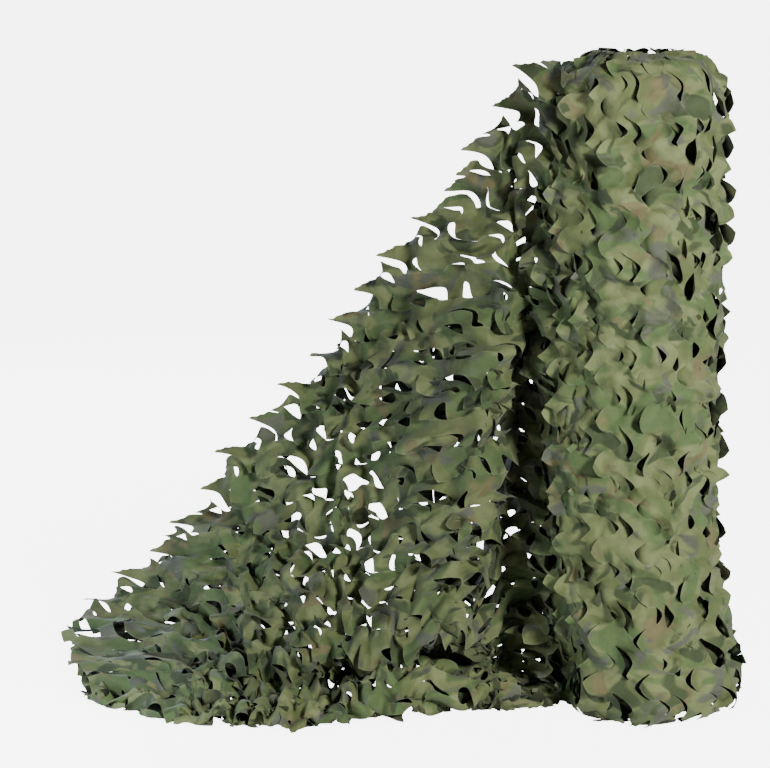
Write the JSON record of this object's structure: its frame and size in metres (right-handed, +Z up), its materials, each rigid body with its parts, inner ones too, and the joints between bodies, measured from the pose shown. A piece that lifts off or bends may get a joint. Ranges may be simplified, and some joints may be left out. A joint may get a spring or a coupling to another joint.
{
  "type": "camouflage netting on a roll with its loose end drawn out",
  "caption": "Roll of leaf-cut woodland camouflage netting standing on its end, with the loose end hanging from a sloping edge and lying in folds on the floor.",
  "frame": {"origin": "on the floor, under the middle of the whole object's bounding box", "axes": "+Z up, +X from the free end towards the roll, +Y away from the side that the picture shows"},
  "size_m": [1.6753, 0.6218, 1.5],
  "materials": {
    "rolled_netting": "matt woven polyester, woodland print, leaf-cut",
    "loose_netting": "matt woven polyester, woodland print, leaf-cut"
  },
  "bodies": {
    "root": {"net_roll": "rolled_netting", "loose_end": "loose_netting"}
  },
  "joints": []
}
